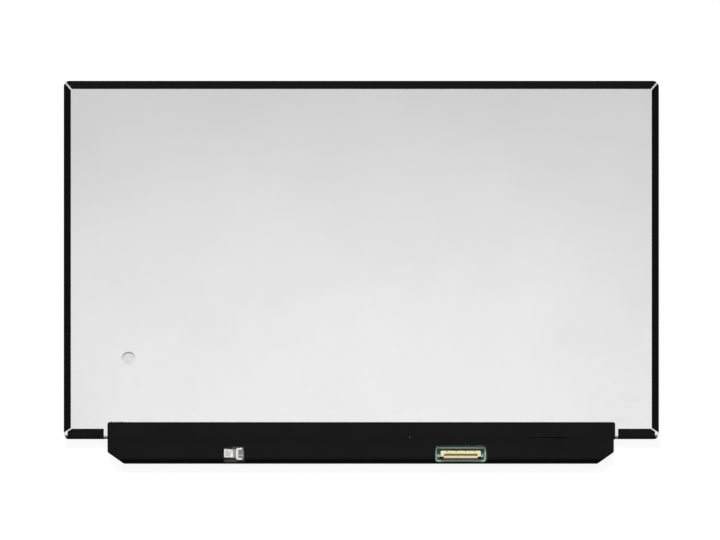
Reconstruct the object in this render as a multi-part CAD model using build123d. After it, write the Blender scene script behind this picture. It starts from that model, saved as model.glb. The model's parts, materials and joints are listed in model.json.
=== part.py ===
from build123d import *
from math import hypot
import os

# Laptop screen panel, lying face down with its back up. Sizes are in millimetres.
# Seen from the back, +X is to the right and +Y is up. +Z points out of the back.
# The origin is the middle of the outline, on the surface that the panel lies on.

# Screen area and the borders round it
active_width = 276.6
active_height = 155.6
side_border = 3.2
top_border = 3.3
bottom_border = 11.6
board_drop = 11.7  # the cover tape's lower edge below the glass

# Layers, from the screen side to the back
tape_thickness = 0.10
polariser_thickness = 0.12
glass_thickness = 0.30
cell_tape_thickness = 0.10
film_gap = 0.06  # air between the rear polariser and the films
prism_thickness = 0.15
diffuser_thickness = 0.12
guide_thickness = 0.50
reflector_thickness = 0.18
plate_thickness = 0.30

# Glass and polarisers
glass_inset = 0.8  # from the outline
glass_corner = 1.6
bond_ledge = 3.3  # array glass below the colour filter glass
polariser_inset = 0.5  # from the glass edge
view_margin = 0.3  # films and rear polariser beyond the active area

# Light guide and films
guide_run = 2.2  # active area to the guide's lit edge
film_setback = 0.5  # films short of that edge
edge_gap = 0.05  # between pieces that lie edge to edge
window_gap = 0.2  # films to the moulded frame

# Moulded frame and the tape between it and the glass
lip_thickness = 0.38
lip_lower_corner = 0.8
frame_gap = 0.10  # to the plate's folded wall
cell_tape_inset = 0.5  # from the glass edge
cell_tape_run = 2.0  # width along the lower edge

# Back plate
outline_corner = 2.8
plate_lower_corner = 0.6
plate_bend = 0.20
wall_height = 1.4
ledge_depth = 1.6  # the frame's lip showing below the plate
hole_diameter = 6.2
hole_from_side = 30.8
hole_above_ledge = 38.6

# Edge tapes
side_flap = 3.4
top_flap = 3.9
bottom_flap = 3.45
front_reveal = 0.3  # front flaps to the active area
mitre_gap = 0.8
lower_mitre_gap = 0.55
mitre_fall = 2.2  # slope of the lower mitres across the side flap
bottom_tape_inset = 1.85  # from the outline
bottom_tape_gap = 1.75  # to the board cover tape, on the left
bottom_tape_right_gap = 1.4
bottom_front_flap = 5.0

# Strip of LEDs and its flexible circuit
led_count = 42
led_width = 3.0
led_depth = 0.8
led_window_border = 0.1
led_window_depth = 0.05
flex_thickness = 0.12
flex_width = 5.0
flex_overlap = 1.0  # over the light guide
flex_end_margin = 1.5

# Tail of the flexible circuit
tail_width = 4.5
tail_run = 8.65  # tail's middle to the light connector
tail_fall_start = 0.4  # below the plate's edge
tail_fall_run = 2.7
arm_width = 4.1
arm_rise = 0.40  # above the light connector's middle
stiffener_length = 4.4
stiffener_thickness = 0.20
stiffener_slant = 0.7  # fall of its upper edge towards the light connector
stiffener_gap = 1.35  # to the light connector

# Circuit board
board_gap = 2.5  # glass to board
board_thickness = 0.60
board_clearance = 0.10  # to the cover tape
component_height = 1.0  # room under the cover tape

# Driver films and their chips
driver_count = 4
driver_end_margin = 36.7  # glass edge to the outermost films
driver_film_width = 34.0
driver_film_thickness = 0.08
glass_bond = 1.6
board_bond = 1.8
driver_chip_length = 20.0
driver_chip_depth = 1.2
driver_chip_height = 0.4

# Board cover tape and front tape
cover_width = 241.4
cover_overlap = 6.6  # onto the back plate
cover_corner = 1.0
cover_right_step = 0.6  # the board's right-hand edge, from the cover tape's widest
chamfer_width = 7.9
chamfer_height = 5.6
cover_step_start = 0.3  # below the plate's edge
cover_step_run = 3.4
shoulder_run = 1.8
shoulder_drop = 0.25
cover_bend = 0.4
window_edge = 0.6  # board's lower edge to both windows
display_window_width = 24.8
display_window_height = 8.0
display_window_corner = 1.5
display_window_shift = 0.13  # right of the connector's middle
light_window_width = 9.9
light_window_height = 7.4
light_window_corner = 0.6
light_window_shift = 2.6  # left of the connector's middle
front_tape_overlap = 1.1  # onto the front polariser
front_tape_step_start = 0.4
front_tape_step_run = 1.0

# Display connector
display_x = 47.32
display_width = 19.1
display_depth = 3.3
display_height = 1.05
display_setback = 2.6  # board's lower edge to the mouth
display_corner = 0.6  # at both ends of the rear bar
rear_bar_depth = 1.3
display_arm_width = 1.5
display_arm_setback = 0.65
display_gusset = 0.5  # slant between the rear bar and each arm
display_floor = 0.20
shell_depth = 1.1
shell_thickness = 0.15
shell_drop = 0.10  # below the housing's top
contact_count = 30
contact_pitch = 0.5
contact_width = 0.25
contact_thickness = 0.12
contact_setback = 0.5  # behind the mouth
contact_foot = 0.18
notch_count = 4  # along the housing's rear edge
notch_pitch = 4.4
notch_width = 0.5
notch_depth = 0.35
notch_height = 0.5
nail_setback = 0.35  # behind the mouth
nail_length = 1.3
nail_width = 1.0
nail_thickness = 0.15
housing_edge = 0.08  # bevel round the top of both housings

# Light connector
light_x = -57.85
light_width = 5.6
light_depth = 3.5
light_height = 1.0
light_corner = 0.9  # round the end that the tail enters
slot_above_board = 0.38
slot_depth = 2.3
slot_gap = 0.02
recess_depth = 2.4
recess_width = 4.0
recess_above_board = 0.70
hook_setback = 0.65  # hooks' ends to the connector's back
latch_thickness = 0.14
latch_gap = 0.05
latch_bevel = 0.05
latch_groove_width = 0.9
latch_groove_depth = 0.05
latch_groove_shift = 0.85  # from the connector's middle
light_contact_count = 8
light_contact_length = 1.8
light_nail_width = 0.15

# Chips on the board, each with its middle in X
timing_x = 14.0
timing_length = 7.0
timing_depth = 7.0
timing_height = 0.85
memory_x = 24.5
memory_length = 3.0
memory_depth = 4.0
memory_height = 0.70
power_x = -18.0
power_length = 5.0
power_depth = 5.0
power_height = 0.85
backlight_x = -38.0
backlight_length = 4.0
backlight_depth = 4.0
backlight_height = 0.80
pin_pitch = 0.5
pin_length = 0.25
pin_width = 0.2
pin_thickness = 0.15

# Small components on the board
inductor_places = (-46.0, -27.5, -8.0)
inductor_size = 3.0
inductor_flange = 0.4
capacitor_length = 1.6
capacitor_depth = 0.8
capacitor_height = 0.8
capacitor_cap = 0.4
resistor_length = 1.0
resistor_depth = 0.5
resistor_height = 0.35
resistor_cap = 0.25
cap_thickness = 0.03
component_rows = 2.4  # from the board's middle line
component_pitch = 5.0
left_bank_start = -108.0
left_bank_count = 7
right_bank_start = 68.0
right_bank_count = 8

# Outline, worked out from the sizes above
x_out = active_width / 2 + side_border
body_height = active_height + top_border + bottom_border
y_top = (body_height + board_drop) / 2
y_ledge = y_top - body_height
y_end = y_ledge - board_drop
y_active_top = y_top - top_border
y_active_bottom = y_active_top - active_height

# Heights of the layers' screen-side faces
z_front_polariser = tape_thickness
z_filter_glass = z_front_polariser + polariser_thickness
z_array_glass = z_filter_glass + glass_thickness
z_rear_polariser = z_array_glass + glass_thickness
z_frame = z_rear_polariser + cell_tape_thickness
z_upper_prism = z_rear_polariser + polariser_thickness + film_gap
z_lower_prism = z_upper_prism + prism_thickness
z_diffuser = z_lower_prism + prism_thickness
z_guide = z_diffuser + diffuser_thickness
z_reflector = z_guide + guide_thickness
z_plate = z_reflector + reflector_thickness
z_back = z_plate + plate_thickness
z_top = z_back + tape_thickness
z_lip = z_frame + lip_thickness
z_flex = z_reflector + flex_thickness
z_board = z_array_glass
z_board_top = z_board + board_thickness
z_cover = z_board_top + component_height
z_driver_film = z_array_glass - driver_film_thickness
z_front_tape = z_driver_film - tape_thickness
z_tail = z_board_top + slot_above_board

# Edges of the layers
x_plate = x_out - tape_thickness
y_plate_top = y_top - tape_thickness
y_plate_bottom = y_ledge + ledge_depth
x_glass = x_out - glass_inset
y_glass_top = y_top - glass_inset
y_glass_bottom = y_ledge + tape_thickness
y_filter_bottom = y_glass_bottom + bond_ledge
x_film = active_width / 2 + view_margin
y_film_top = y_active_top + view_margin
y_guide_bottom = y_active_bottom - guide_run
x_window = x_film + window_gap
y_window_top = y_film_top + window_gap
y_window_bottom = y_guide_bottom - edge_gap
y_led_bottom = y_window_bottom - led_depth
y_flex_top = y_guide_bottom + flex_overlap
y_flex_bottom = y_flex_top - flex_width
x_flex = x_film - flex_end_margin

# Board, cover tape and connectors
x_cover = cover_width / 2
y_cover_top = y_plate_bottom + cover_overlap
board_inset = tape_thickness + board_clearance
y_board_top = y_glass_bottom - board_gap
y_board_bottom = y_end + board_inset
y_board_middle = (y_board_top + y_board_bottom) / 2
y_mouth = y_board_bottom + display_setback
y_display_rear = y_mouth + display_depth
y_bar_front = y_display_rear - rear_bar_depth
x_light_face = light_x - light_depth / 2
x_light_back = light_x + light_depth / 2
x_tail = x_light_face - tail_run
y_arm = y_board_middle + arm_rise


def block(x_low, x_high, y_low, y_high, z_low, z_high):
    """A square-edged block between two opposite corners."""
    middle = Pos((x_low + x_high) / 2, (y_low + y_high) / 2, (z_low + z_high) / 2)
    return middle * Box(x_high - x_low, y_high - y_low, z_high - z_low)


def slab(half_width, y_low, y_high, z_low, z_high, corner, lower_corner=None):
    """A flat plate, even on both sides of the middle, with rounded corners."""
    outline = Pos(0, (y_low + y_high) / 2) * Rectangle(2 * half_width, y_high - y_low)
    outline = fillet(outline.vertices().group_by(Axis.Y)[-1], corner)
    outline = fillet(outline.vertices().group_by(Axis.Y)[0], lower_corner or corner)
    return Pos(0, 0, z_low) * extrude(outline, z_high - z_low)


def sheet(half_width, y_low, y_high, z_low, thickness):
    """A square-cornered film or plate."""
    return block(-half_width, half_width, y_low, y_high, z_low, z_low + thickness)


def prism(points, z_low, z_high):
    """A straight prism on an outline of (x, y) points."""
    face = make_face(Polyline(*points, close=True))
    return Pos(0, 0, z_low) * extrude(face, z_high - z_low, dir=(0, 0, 1))


def folded_strip(path, thickness, x_low, x_high):
    """A strip of even thickness along X, with its middle on a path of (y, z) points."""
    points = [Vector(y, z) for y, z in path]
    runs = [(b - a).normalized() for a, b in zip(points, points[1:])]
    before = [runs[0]] + runs
    after = runs + [runs[-1]]
    near_side = []
    far_side = []
    for point, arriving, leaving in zip(points, before, after):
        normal_in = Vector(-arriving.Y, arriving.X)
        normal_out = Vector(-leaving.Y, leaving.X)
        mitre = (normal_in + normal_out) / (1 + normal_in.dot(normal_out))
        near_side.append(point + mitre * (thickness / 2))
        far_side.append(point - mitre * (thickness / 2))
    outline = [(x_low, p.X, p.Y) for p in near_side + far_side[::-1]]
    return extrude(make_face(Polyline(*outline, close=True)), x_high - x_low, dir=(1, 0, 0))


def row(piece, count, pitch, axis):
    """Copies of one piece at an even pitch, centred on where the piece is."""
    first = -(count - 1) * pitch / 2
    places = [axis.direction * (first + i * pitch) for i in range(count)]
    return [Location(place) * piece for place in places]


def group(pieces):
    """Separate solids kept together as one item."""
    return Compound([solid for piece in pieces for solid in piece.solids()])


def board_outline(inset, y_high):
    """Corners of the board's outline, inset from the cover tape's edge all round."""
    slope = hypot(chamfer_width, chamfer_height)
    side = x_cover - inset
    low = y_end + inset
    chamfer_top = y_end + chamfer_height + inset * (slope - chamfer_height) / chamfer_width
    chamfer_x = x_cover - chamfer_width - inset * (slope - chamfer_width) / chamfer_height
    right = [(chamfer_x, low), (side, chamfer_top), (side, y_high)]
    left = [(-x, y) for x, y in reversed(right)]
    return [(x - cover_right_step, y) for x, y in right] + left


def glass_cell():
    x_polariser = x_glass - polariser_inset
    y_high = y_glass_top - polariser_inset
    y_low = y_filter_bottom + polariser_inset
    z_joint = z_array_glass
    return {
        "front_polariser": sheet(x_polariser, y_low, y_high, z_front_polariser, polariser_thickness),
        "colour_filter_glass": slab(
            x_glass, y_filter_bottom, y_glass_top, z_filter_glass, z_joint, glass_corner
        ),
        "array_glass": slab(
            x_glass, y_glass_bottom, y_glass_top, z_joint, z_rear_polariser, glass_corner
        ),
        "rear_polariser": sheet(
            x_film, y_active_bottom - view_margin, y_film_top, z_rear_polariser, polariser_thickness
        ),
    }


def cell_tape():
    x_outer = x_glass - cell_tape_inset
    y_high = y_glass_top - cell_tape_inset
    y_low = y_window_bottom - cell_tape_run
    ring = sheet(x_outer, y_low, y_high, z_rear_polariser, cell_tape_thickness)
    return ring - sheet(x_window, y_window_bottom, y_window_top, z_rear_polariser, cell_tape_thickness)


def light_stack():
    y_low = y_guide_bottom + film_setback
    y_reflector = y_flex_top + edge_gap
    return {
        "upper_prism_sheet": sheet(x_film, y_low, y_film_top, z_upper_prism, prism_thickness),
        "lower_prism_sheet": sheet(x_film, y_low, y_film_top, z_lower_prism, prism_thickness),
        "diffuser_sheet": sheet(x_film, y_low, y_film_top, z_diffuser, diffuser_thickness),
        "light_guide": sheet(x_film, y_guide_bottom, y_film_top, z_guide, guide_thickness),
        "reflector_sheet": sheet(x_film, y_reflector, y_film_top, z_reflector, reflector_thickness),
    }


def mould_frame():
    x_inside = x_plate - plate_thickness - frame_gap
    y_inside = y_plate_top - plate_thickness - frame_gap
    y_rail = y_plate_bottom + frame_gap
    rail_corner = outline_corner - tape_thickness - plate_thickness - frame_gap
    lip = slab(x_glass, y_glass_bottom, y_glass_top, z_frame, z_lip, glass_corner, lip_lower_corner)
    rails = slab(x_inside, y_rail, y_inside, z_lip, z_plate, rail_corner, glass_corner)
    opening = block(-x_window, x_window, y_window_bottom, y_window_top, z_frame, z_plate)
    x_pocket = x_flex + window_gap
    led_pocket = block(-x_pocket, x_pocket, y_led_bottom - edge_gap, y_window_bottom, z_guide, z_plate)
    y_pocket = y_flex_bottom - window_gap
    flex_pocket = block(-x_pocket, x_pocket, y_pocket, y_window_bottom, z_reflector, z_plate)
    half_notch = tail_width / 2 + window_gap
    notch = block(x_tail - half_notch, x_tail + half_notch, y_ledge, y_pocket, z_reflector, z_plate)
    return lip + rails - opening - led_pocket - flex_pocket - notch


def back_plate():
    corner = outline_corner - tape_thickness
    z_wall = z_back - wall_height
    tray = slab(x_plate, y_plate_bottom, y_plate_top, z_wall, z_back, corner, plate_lower_corner)
    tray = fillet(tray.edges().group_by(Axis.Z)[-1], plate_bend)
    x_inner = x_plate - plate_thickness
    y_inner = y_plate_top - plate_thickness
    inner_corner = corner - plate_thickness
    hollow = slab(x_inner, y_end, y_inner, z_wall, z_plate, inner_corner)
    hole = Cylinder(hole_diameter / 2, 2 * plate_thickness)
    hole_place = Pos(hole_from_side - x_out, y_ledge + hole_above_ledge, z_back - plate_thickness / 2)
    return tray - hollow - hole_place * hole


def mitre_line(start, end, offset):
    """The line from start to end, moved sideways to its left and drawn out past both ends."""
    run = (end - start).normalized()
    sideways = Vector(-run.Y, run.X) * offset
    reach = run * (side_flap + top_flap)
    return [(p.X, p.Y) for p in (start + sideways - reach, end + sideways + reach)]


def edge_tapes():
    outer = slab(x_out, y_end, y_top, 0, z_top, outline_corner)
    outer = fillet(outer.edges().group_by(Axis.Z)[-1], plate_bend + tape_thickness)
    inner_corner = outline_corner - tape_thickness
    inner = slab(x_plate, y_end, y_plate_top, tape_thickness, z_back, inner_corner)
    inner = fillet(inner.edges().group_by(Axis.Z)[-1], plate_bend)
    x_back = x_out - side_flap
    y_back = y_top - top_flap
    back_opening = block(-x_back, x_back, y_end, y_back, z_plate, z_top)
    x_front = active_width / 2 + front_reveal
    y_front = y_active_top + front_reveal
    front_opening = block(-x_front, x_front, y_end, y_front, 0, z_front_polariser)
    ring = outer - inner - back_opening - front_opening

    corner = Vector(-x_out, y_top)
    inside = Vector(-x_back, y_back)
    low_inside = Vector(-x_back, y_plate_bottom + bottom_flap)
    low_outside = Vector(-x_out, low_inside.Y - mitre_fall)
    half_gap = mitre_gap / 2
    above_mitre = mitre_line(corner, inside, half_gap)
    below_mitre = mitre_line(corner, inside, -half_gap)
    half_lower_gap = lower_mitre_gap / 2
    left_end = mitre_line(low_inside, low_outside, -half_lower_gap)
    top_clip = prism(above_mitre + [(-x, y) for x, y in reversed(above_mitre)], 0, z_top)
    left_clip = prism(below_mitre + left_end, 0, z_top)
    left = ring & left_clip

    end_line = mitre_line(low_inside, low_outside, half_lower_gap)
    below_end = [(-x_out, y_end), (0, y_end), (0, end_line[0][1])]
    half = tape_thickness / 2
    path = [
        (y_plate_bottom + bottom_flap, z_back + half),
        (y_plate_bottom - half, z_back + half),
        (y_plate_bottom - half, z_lip + half),
        (y_ledge + half, z_lip + half),
        (y_ledge + half, half),
        (y_ledge + bottom_front_flap, half),
    ]
    x_end = bottom_tape_inset - x_out
    end_clip = prism(end_line + below_end, 0, z_top)
    bottom_left = folded_strip(path, tape_thickness, x_end, -x_cover - bottom_tape_gap)
    bottom_right = folded_strip(path, tape_thickness, x_end, -x_cover - bottom_tape_right_gap)
    return {
        "edge_tape_top": ring & top_clip,
        "edge_tape_left": left,
        "edge_tape_right": mirror(left, Plane.YZ),
        "edge_tape_bottom_left": bottom_left & end_clip,
        "edge_tape_bottom_right": mirror(bottom_right & end_clip, Plane.YZ),
    }


def led_strip():
    half = led_width / 2
    led = block(-half, half, y_led_bottom, y_window_bottom, z_guide, z_reflector)
    window = block(
        led_window_border - half,
        half - led_window_border,
        y_window_bottom - led_window_depth,
        y_window_bottom,
        z_guide + led_window_border,
        z_reflector - led_window_border,
    )
    led_pitch = (2 * x_flex - led_width) / led_count
    strip = block(-x_flex, x_flex, y_flex_bottom, y_flex_top, z_reflector, z_flex)
    half_flex = flex_thickness / 2
    y_fall = y_plate_bottom - tail_fall_start
    y_low = y_arm - arm_width / 2
    tail_path = [
        (y_flex_bottom, z_reflector + half_flex),
        (y_fall, z_reflector + half_flex),
        (y_fall - tail_fall_run, z_tail + half_flex),
        (y_low, z_tail + half_flex),
    ]
    tail_left = x_tail - tail_width / 2
    tail = folded_strip(tail_path, flex_thickness, tail_left, tail_left + tail_width)
    y_high = y_low + arm_width
    z_arm = z_tail + flex_thickness
    arm = block(x_tail, x_light_face + slot_depth, y_low, y_high, z_tail, z_arm)
    stiffener_end = x_light_face - stiffener_gap
    stiffener_start = stiffener_end - stiffener_length
    stiffener_outline = [
        (stiffener_start, y_low),
        (stiffener_end, y_low),
        (stiffener_end, y_high - stiffener_slant),
        (stiffener_start, y_high),
    ]
    return {
        "leds": group(row(led - window, led_count, led_pitch, Axis.X)),
        "led_strip_flex": strip + tail + arm,
        "led_strip_tape": block(-x_flex, x_flex, y_flex_bottom, y_flex_top, z_flex, z_plate),
        "led_tail_stiffener": prism(stiffener_outline, z_arm, z_arm + stiffener_thickness),
    }


def drivers():
    """Films bonded to the front of the glass ledge and of the board, each with its chip behind."""
    nodes = {}
    half_film = driver_film_width / 2
    half_chip = driver_chip_length / 2
    first = driver_end_margin + half_film - x_glass
    driver_pitch = -2 * first / (driver_count - 1)
    y_chip = (y_glass_bottom + y_board_top) / 2
    for i in range(driver_count):
        x = first + i * driver_pitch
        nodes[f"driver_film_{i + 1}"] = block(
            x - half_film,
            x + half_film,
            y_board_top - board_bond,
            y_glass_bottom + glass_bond,
            z_driver_film,
            z_array_glass,
        )
        nodes[f"driver_chip_{i + 1}"] = block(
            x - half_chip,
            x + half_chip,
            y_chip - driver_chip_depth / 2,
            y_chip + driver_chip_depth / 2,
            z_array_glass,
            z_array_glass + driver_chip_height,
        )
    return nodes


def lower_edges(strip):
    """Edges along X, from the one that lies lowest in Y and farthest back."""
    return strip.edges().filter_by(Axis.X).sort_by(lambda edge: edge.center().Y - edge.center().Z)


def board_tapes():
    half = tape_thickness / 2
    y_step = y_plate_bottom - cover_step_start
    cover_path = [
        (y_cover_top, z_back + half),
        (y_step, z_back + half),
        (y_step - cover_step_run, z_cover + half),
        (y_end + shoulder_run, z_cover + half),
        (y_end + half, z_cover + half - shoulder_drop),
        (y_end + half, z_driver_film),
    ]
    cover = folded_strip(cover_path, tape_thickness, -x_cover, x_cover)
    inner_bend = lower_edges(cover)[1]
    cover = fillet(inner_bend, cover_bend)
    outer_bend = lower_edges(cover)[0]
    cover = fillet(outer_bend, cover_bend + tape_thickness)
    corners = board_outline(0, y_cover_top)
    step = [(x_cover - cover_right_step, y_ledge), (x_cover, y_ledge)]
    outline = make_face(Polyline(*corners[:2], *step, (x_cover, y_cover_top), *corners[3:], close=True))
    round_corners = outline.vertices().filter_by(lambda vertex: (vertex.X, vertex.Y) not in step)
    cover = cover & extrude(fillet(round_corners, cover_corner), z_top, dir=(0, 0, 1))
    y_window = y_board_bottom + window_edge
    display_window = RectangleRounded(display_window_width, display_window_height, display_window_corner)
    window_x = display_x + display_window_shift
    cover -= Pos(window_x, y_window + display_window_height / 2) * extrude(display_window, z_top)
    light_window = RectangleRounded(light_window_width, light_window_height, light_window_corner)
    window_x = light_x - light_window_shift
    cover -= Pos(window_x, y_window + light_window_height / 2) * extrude(light_window, z_top)

    y_front_high = y_filter_bottom + polariser_inset + front_tape_overlap
    y_front_step = y_filter_bottom - front_tape_step_start
    front_path = [
        (y_front_high, half),
        (y_front_step, half),
        (y_front_step - front_tape_step_run, z_front_tape + half),
        (y_end, z_front_tape + half),
    ]
    front = folded_strip(front_path, tape_thickness, -x_cover, x_cover)
    front = front & prism(board_outline(board_inset, y_front_high), 0, z_top)
    return {"board_cover_tape": cover, "board_front_tape": front}


def display_connector():
    x_left = display_x - display_width / 2
    x_right = display_x + display_width / 2
    z_head = z_board_top + display_height
    z_floor = z_board_top + display_floor
    inner_left = x_left + display_arm_width
    inner_right = x_right - display_arm_width
    y_arm_end = y_mouth + display_arm_setback
    housing = block(x_left, x_right, y_bar_front, y_display_rear, z_board_top, z_head)
    housing += block(x_left, inner_left, y_arm_end, y_bar_front, z_board_top, z_head)
    housing += block(inner_right, x_right, y_arm_end, y_bar_front, z_board_top, z_head)
    for x_inner in (inner_left, inner_right):
        inner_corner = housing.edges().filter_by(Axis.Z).sort_by_distance((x_inner, y_bar_front, z_head))
        housing = chamfer(inner_corner[0], display_gusset)
    housing = fillet(housing.edges().filter_by(Axis.Z).group_by(Axis.Y)[-1], display_corner)
    housing += block(inner_left, inner_right, y_mouth, y_bar_front, z_board_top, z_floor)
    housing = chamfer(housing.edges().group_by(Axis.Z)[-1], housing_edge)
    notch = block(
        display_x - notch_width / 2,
        display_x + notch_width / 2,
        y_display_rear - notch_depth,
        y_display_rear,
        z_head - notch_height,
        z_head,
    )
    housing -= row(notch, notch_count, notch_pitch, Axis.X)

    left = display_x - contact_width / 2
    right = display_x + contact_width / 2
    y_foot = y_display_rear + contact_foot
    z_contact = z_floor + contact_thickness
    y_stem = y_display_rear + contact_thickness
    contact = block(left, right, y_mouth + contact_setback, y_stem, z_floor, z_contact)
    contact += block(left, right, y_display_rear, y_stem, z_board_top, z_contact)
    contact += block(left, right, y_display_rear, y_foot, z_board_top, z_board_top + contact_thickness)
    contacts = row(contact, contact_count, contact_pitch, Axis.X)
    z_shell = z_head - shell_drop
    z_nail = z_board_top + nail_thickness
    y_nail = y_mouth + nail_setback
    nails = [
        block(x_left - nail_width, x_left, y_nail, y_nail + nail_length, z_board_top, z_nail),
        block(x_right, x_right + nail_width, y_nail, y_nail + nail_length, z_board_top, z_nail),
    ]
    return {
        "display_connector_housing": housing - contacts,
        "display_connector_shell": block(
            inner_left, inner_right, y_mouth, y_mouth + shell_depth, z_shell - shell_thickness, z_shell
        ),
        "display_connector_contacts": group(contacts),
        "display_connector_nails": group(nails),
    }


def light_connector():
    y_low = y_board_middle - light_width / 2
    y_high = y_board_middle + light_width / 2
    z_head = z_board_top + light_height
    z_recess = z_board_top + recess_above_board
    housing = block(x_light_face, x_light_back, y_low, y_high, z_board_top, z_head)
    housing = fillet(housing.edges().filter_by(Axis.Z).group_by(Axis.X)[0], light_corner)
    housing -= block(
        x_light_face,
        x_light_face + slot_depth,
        y_arm - arm_width / 2 - slot_gap,
        y_arm + arm_width / 2 + slot_gap,
        z_tail - slot_gap,
        z_tail + flex_thickness + slot_gap,
    )
    half_recess = recess_width / 2
    housing -= block(
        x_light_back - recess_depth,
        x_light_back,
        y_board_middle - half_recess,
        y_board_middle + half_recess,
        z_recess,
        z_head,
    )
    x_hook = x_light_back - hook_setback
    housing -= block(x_hook, x_light_back, y_low, y_high, z_recess, z_head)
    housing = chamfer(housing.edges().group_by(Axis.Z)[-1], housing_edge)
    low = y_board_middle - contact_width / 2
    high = y_board_middle + contact_width / 2
    x_stem = x_light_back + contact_thickness
    z_contact = z_recess + contact_thickness
    contact = block(x_light_back - light_contact_length, x_stem, low, high, z_recess, z_contact)
    contact += block(x_light_back, x_stem, low, high, z_board_top, z_contact)
    x_foot = x_light_back + contact_foot
    contact += block(x_light_back, x_foot, low, high, z_board_top, z_board_top + contact_thickness)
    z_latch = z_contact + latch_thickness
    latch = block(
        x_light_back - recess_depth + latch_gap,
        x_light_back,
        y_board_middle - half_recess + latch_gap,
        y_board_middle + half_recess - latch_gap,
        z_contact,
        z_latch,
    )
    latch += block(x_hook + latch_gap, x_light_back, y_low, y_high, z_contact, z_latch)
    latch = chamfer(latch.edges().group_by(Axis.Z)[-1], latch_bevel)
    y_groove = y_board_middle - latch_groove_shift
    latch -= block(
        x_light_back - recess_depth,
        x_light_back,
        y_groove - latch_groove_width / 2,
        y_groove + latch_groove_width / 2,
        z_latch - latch_groove_depth,
        z_latch,
    )
    z_nail = z_board_top + nail_thickness
    nail_left = light_x - nail_length / 2
    nail_right = light_x + nail_length / 2
    nails = [
        block(nail_left, nail_right, y_high, y_high + light_nail_width, z_board_top, z_nail),
        block(nail_left, nail_right, y_low - light_nail_width, y_low, z_board_top, z_nail),
    ]
    return {
        "light_connector_housing": housing,
        "light_connector_latch": latch,
        "light_connector_contacts": group(row(contact, light_contact_count, contact_pitch, Axis.Y)),
        "light_connector_nails": group(nails),
    }


def chip(x, length, depth, height):
    """A moulded chip with short pins along two of its sides."""
    half = depth / 2
    body = Pos(x, y_board_middle, z_board_top + height / 2) * Box(length, depth, height)
    pin_count = int((length - pin_pitch) / pin_pitch)
    z_pin = z_board_top + pin_thickness / 2
    for side in (-1, 1):
        y_pin = y_board_middle + side * (half + pin_length / 2)
        pin = Pos(x, y_pin, z_pin) * Box(pin_width, pin_length, pin_thickness)
        body += row(pin, pin_count, pin_pitch, Axis.X)
    return body


def end_capped(length, depth, height, cap):
    """A small component at the origin, standing on Z = 0, with a thicker cap at each end."""
    core_depth = depth - 2 * cap_thickness
    core_height = height - 2 * cap_thickness
    core = Pos(0, 0, height / 2) * Box(length - 2 * cap, core_depth, core_height)
    for side in (-1, 1):
        core += Pos(side * (length - cap) / 2, 0, height / 2) * Box(cap, depth, height)
    return core


def bank(piece, offset):
    """A row of one component on both free stretches of the board, off its middle line."""
    places = [left_bank_start + i * component_pitch for i in range(left_bank_count)]
    places += [right_bank_start + i * component_pitch for i in range(right_bank_count)]
    return group([Pos(x, y_board_middle + offset, z_board_top) * piece for x in places])


def inductor():
    """A wound inductor at the origin: a square block between two thin end flanges."""
    half = component_height / 2
    core = Pos(0, 0, half) * Box(inductor_size - 2 * inductor_flange, inductor_size, component_height)
    flange = Box(inductor_flange, inductor_size - inductor_flange, component_height)
    for side in (-1, 1):
        core += Pos(side * (inductor_size - inductor_flange) / 2, 0, half) * flange
    return core


def circuit_board():
    board = prism(board_outline(board_inset, y_board_top), z_board, z_board_top)
    inductors = [Pos(x, y_board_middle, z_board_top) * inductor() for x in inductor_places]
    capacitor = end_capped(capacitor_length, capacitor_depth, capacitor_height, capacitor_cap)
    resistor = end_capped(resistor_length, resistor_depth, resistor_height, resistor_cap)
    return {
        "circuit_board": board,
        "timing_controller": chip(timing_x, timing_length, timing_depth, timing_height),
        "memory_chip": chip(memory_x, memory_length, memory_depth, memory_height),
        "power_chip": chip(power_x, power_length, power_depth, power_height),
        "backlight_driver_chip": chip(backlight_x, backlight_length, backlight_depth, backlight_height),
        "inductors": group(inductors),
        "capacitors": bank(capacitor, component_rows),
        "resistors": bank(resistor, -component_rows),
    }


nodes = {
    **glass_cell(),
    "cell_tape": cell_tape(),
    "mould_frame": mould_frame(),
    **light_stack(),
    "back_plate": back_plate(),
    **led_strip(),
    **drivers(),
    **circuit_board(),
    **display_connector(),
    **light_connector(),
    **edge_tapes(),
    **board_tapes(),
}

os.makedirs("parts", exist_ok=True)
for name, shape in nodes.items():
    export_step(shape, f"parts/{name}.step")
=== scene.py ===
import json
import math

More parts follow.
